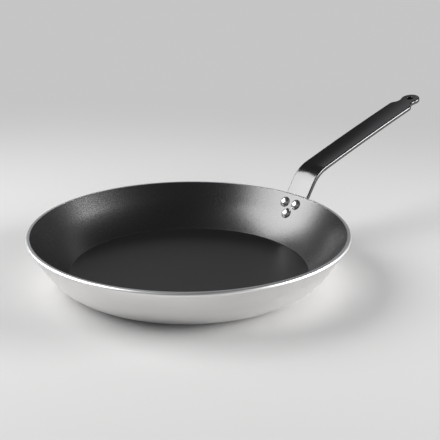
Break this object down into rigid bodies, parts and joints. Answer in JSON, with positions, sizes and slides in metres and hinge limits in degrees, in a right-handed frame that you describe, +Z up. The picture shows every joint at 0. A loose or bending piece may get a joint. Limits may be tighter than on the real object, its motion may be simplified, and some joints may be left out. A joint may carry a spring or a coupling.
{
  "type": "frying pan",
  "caption": "Round frying pan with a flared bare-metal wall, a dark nonstick inside and a long flat strip handle riveted to the wall, with a hanging hole at its end.",
  "frame": {"origin": "centre of the flat underside", "axes": "+X from the pan's centre towards the handle, +Z up out of the open side, +Y to the left of the handle seen from the pan"},
  "size_m": [0.4966, 0.3, 0.1183],
  "materials": {
    "bare_aluminium": "turned and brushed, bare",
    "nonstick_coat": "near-black nonstick coat, fine grain, soft sheen",
    "black_epoxy": "black epoxy coat on strip steel, semi-gloss",
    "rivet_metal": "bare, drawn and upset"
  },
  "bodies": {
    "root": {"pan_body": "bare_aluminium", "nonstick_film": "nonstick_coat", "handle_strip": "black_epoxy", "rivet_upper_left": "rivet_metal", "rivet_upper_right": "rivet_metal", "rivet_lower": "rivet_metal"}
  },
  "joints": []
}
